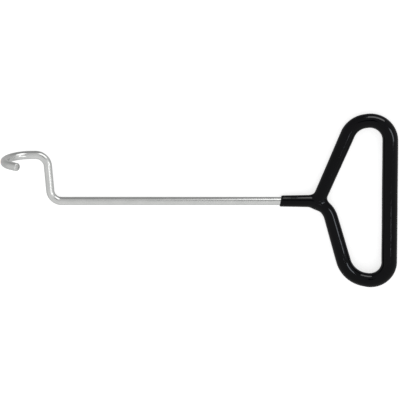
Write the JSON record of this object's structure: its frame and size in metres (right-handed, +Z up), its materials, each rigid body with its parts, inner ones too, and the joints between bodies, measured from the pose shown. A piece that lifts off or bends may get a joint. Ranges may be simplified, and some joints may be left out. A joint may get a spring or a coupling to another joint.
{
  "type": "hooked hive tool",
  "caption": "Long steel pull hook: a round bar with an open hook and a crank at one end, and at the other a closed loop handle dipped in black vinyl.",
  "frame": {"origin": "bottom centre of the whole tool's box, on the surface that it lies on", "axes": "+X along the shaft from the hook to the grip, +Y towards the side that the crank steps to, +Z up, the way the hook curls"},
  "size_m": [0.3874, 0.1751, 0.0526],
  "materials": {
    "bright_steel": "bright plated drawn bar, slightly soft reflections",
    "weld_steel": "as-welded, hidden under the vinyl",
    "black_vinyl": "glossy dipped vinyl with a slight orange peel"
  },
  "bodies": {
    "root": {"steel_rod": "bright_steel", "weld_bead": "weld_steel", "vinyl_grip": "black_vinyl"}
  },
  "joints": []
}
